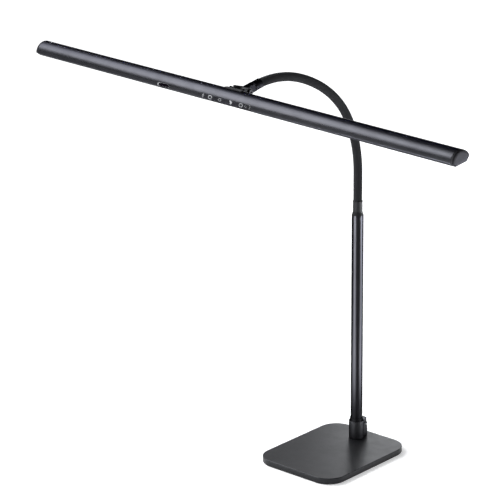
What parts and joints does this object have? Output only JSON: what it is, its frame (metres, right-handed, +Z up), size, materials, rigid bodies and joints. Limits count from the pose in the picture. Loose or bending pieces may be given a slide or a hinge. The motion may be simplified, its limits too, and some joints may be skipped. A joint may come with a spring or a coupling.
{
  "type": "piano lamp",
  "caption": "Desk lamp with a wide light bar that tilts on a bendable gooseneck above a swivelling pole and a rounded rectangular foot.",
  "frame": {"origin": "on the pole's axis, at the underside of the foot's mat, on the surface the lamp stands on", "axes": "+Z up along the pole, +X along the light bar, -Y towards the bar and the person who reads under it"},
  "size_m": [0.92, 0.3186, 0.6514],
  "materials": {
    "bar_anodised": "satin black anodised, soft sheen",
    "pole_paint": "satin black paint",
    "foot_powder_coat": "fine satin powder coat",
    "mat_foam": "matt closed-cell foam rubber",
    "black_moulding": "fine spark texture",
    "bush_nylon": "smooth nylon",
    "sleeve_rubber": "matt smooth sleeve",
    "steel": "zinc plated",
    "black_steel": "black oxide",
    "washer_fibre": "fibre",
    "wire_pvc": "soft jacket",
    "led_board_white": "white solder mask",
    "circuit_board": "green solder mask",
    "led_phosphor": "phosphor on white package",
    "component_body": "moulded packages",
    "diffuser_opal": "opal, fine matt",
    "touch_panel_gloss": "semi-gloss with printed icons",
    "sensor_lens": "dark clear lens",
    "jack_plastic": "moulded"
  },
  "bodies": {
    "base": {"base_plate": "foot_powder_coat", "base_mat": "mat_foam", "socket_screws": "steel", "pole_socket": "black_moulding", "socket_bush": "bush_nylon", "latch_pin": "steel", "latch_spring": "steel", "inlet_jack": "jack_plastic", "inlet_pin": "steel", "inlet_lead": "wire_pvc"},
    "latch": {"release_latch": "black_moulding"},
    "pole": {"pole_plug": "bush_nylon", "pole_tube": "pole_paint", "neck_ferrule": "pole_paint", "ferrule_grub_screw": "steel", "pole_wire": "wire_pvc", "neck_sleeve_0": "sleeve_rubber", "neck_coil_0": "steel"},
    "neck_link_1": {"neck_sleeve_1": "sleeve_rubber", "neck_coil_1": "steel", "neck_wire_1": "wire_pvc"},
    "neck_link_2": {"neck_sleeve_2": "sleeve_rubber", "neck_coil_2": "steel", "neck_wire_2": "wire_pvc"},
    "neck_link_3": {"neck_sleeve_3": "sleeve_rubber", "neck_coil_3": "steel", "neck_wire_3": "wire_pvc"},
    "neck_link_4": {"neck_sleeve_4": "sleeve_rubber", "neck_coil_4": "steel", "neck_wire_4": "wire_pvc"},
    "neck_link_5": {"neck_sleeve_5": "sleeve_rubber", "neck_coil_5": "steel", "neck_wire_5": "wire_pvc"},
    "neck_link_6": {"neck_sleeve_6": "sleeve_rubber", "neck_coil_6": "steel", "neck_wire_6": "wire_pvc"},
    "neck_link_7": {"neck_sleeve_7": "sleeve_rubber", "neck_coil_7": "steel", "neck_wire_7": "wire_pvc", "neck_knuckle": "black_moulding"},
    "light_bar": {"bar_profile": "bar_anodised", "end_cap_left": "black_moulding", "end_cap_right": "black_moulding", "diffuser": "diffuser_opal", "led_board": "led_board_white", "led_chips": "led_phosphor", "driver_board": "circuit_board", "driver_parts": "component_body", "touch_panel": "touch_panel_gloss", "touch_board": "circuit_board", "sensor_window": "sensor_lens", "bar_lead": "wire_pvc", "bar_saddle": "black_moulding", "saddle_screws": "black_steel", "tilt_bolt": "black_steel", "tilt_nut": "black_steel", "friction_washers": "washer_fibre"}
  },
  "joints": [
    {"name": "latch_press", "type": "hinge", "parent": "base", "child": "latch", "pos_m": [-0.00195, 0.01825, 0.0298], "axis": [0.9943, 0.1063, 0], "range_deg": [0, 12], "stiffness_Nm_per_rad": 0.6, "springref_deg": -2.86},
    {"name": "pole_swivel", "type": "hinge", "parent": "base", "child": "pole", "pos_m": [0, 0, 0.03], "axis": [0, 0, 1], "range_deg": [-150, 150]},
    {"name": "neck_bend", "type": "hinge", "parent": "pole", "child": "neck_link_1", "pos_m": [0, 0, 0.4614], "axis": [1, 0.0001, 0], "range_deg": [-10, 8]},
    {"name": "neck_sway", "type": "hinge", "parent": "neck_link_1", "child": "neck_link_2", "pos_m": [0, -0.0053, 0.50719], "axis": [0, 0.9736, 0.2284], "range_deg": [-8, 8]},
    {"name": "neck_bend_2", "type": "hinge", "parent": "neck_link_2", "child": "neck_link_3", "pos_m": [0, -0.02095, 0.55055], "axis": [1, 0.0001, 0], "range_deg": [-10, 8]},
    {"name": "neck_sway_2", "type": "hinge", "parent": "neck_link_3", "child": "neck_link_4", "pos_m": [0, -0.0477, 0.58798], "axis": [0, 0.712, 0.7022], "range_deg": [-8, 8]},
    {"name": "neck_bend_3", "type": "hinge", "parent": "neck_link_4", "child": "neck_link_5", "pos_m": [0, -0.084, 0.61635], "axis": [1, 0.0001, 0], "range_deg": [-10, 8]},
    {"name": "neck_sway_3", "type": "hinge", "parent": "neck_link_5", "child": "neck_link_6", "pos_m": [0, -0.12589, 0.63566], "axis": [0, 0.3239, 0.9461], "range_deg": [-8, 8]},
    {"name": "neck_bend_4", "type": "hinge", "parent": "neck_link_6", "child": "neck_link_7", "pos_m": [0, -0.17113, 0.6442], "axis": [1, 0.0001, 0], "range_deg": [-10, 8]},
    {"name": "bar_tilt", "type": "hinge", "parent": "neck_link_7", "child": "light_bar", "pos_m": [0, -0.23633, 0.63468], "axis": [1, 0, 0], "range_deg": [-40, 40]}
  ],
  "couplings": [
    {"joint": "neck_bend_2", "follows": "neck_bend", "ratio": 1},
    {"joint": "neck_bend_3", "follows": "neck_bend", "ratio": 1},
    {"joint": "neck_bend_4", "follows": "neck_bend", "ratio": 1},
    {"joint": "neck_sway_2", "follows": "neck_sway", "ratio": 1},
    {"joint": "neck_sway_3", "follows": "neck_sway", "ratio": 1}
  ]
}
